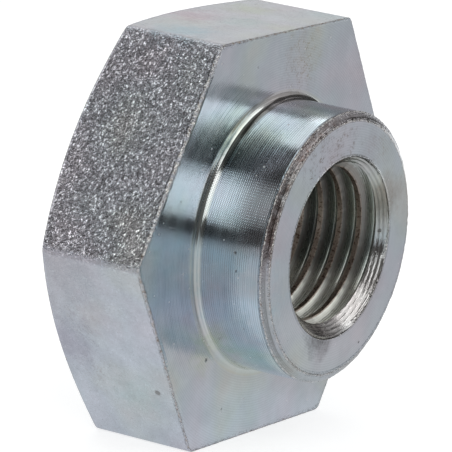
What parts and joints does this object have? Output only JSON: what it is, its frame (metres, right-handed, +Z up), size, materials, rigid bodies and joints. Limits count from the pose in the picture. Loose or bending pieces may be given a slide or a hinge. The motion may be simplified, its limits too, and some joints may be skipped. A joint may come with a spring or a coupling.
{
  "type": "hex weld nut",
  "caption": "Hexagonal weld nut with a round locating boss on one side, a coarse metric thread through it, and bright zinc plating.",
  "frame": {"origin": "on the axis of the threaded hole, in the plane of the shoulder round the boss", "axes": "+Z up, out of the top flat of the hexagon; the bore runs along Y and the boss points along -Y; +X to the right seen from the boss"},
  "size_m": [0.0414, 0.0185, 0.036],
  "materials": {
    "zinc_plated_steel": "bright zinc plating over turned ends and rough rolled flats"
  },
  "bodies": {
    "root": {"weld_nut": "zinc_plated_steel"}
  },
  "joints": []
}
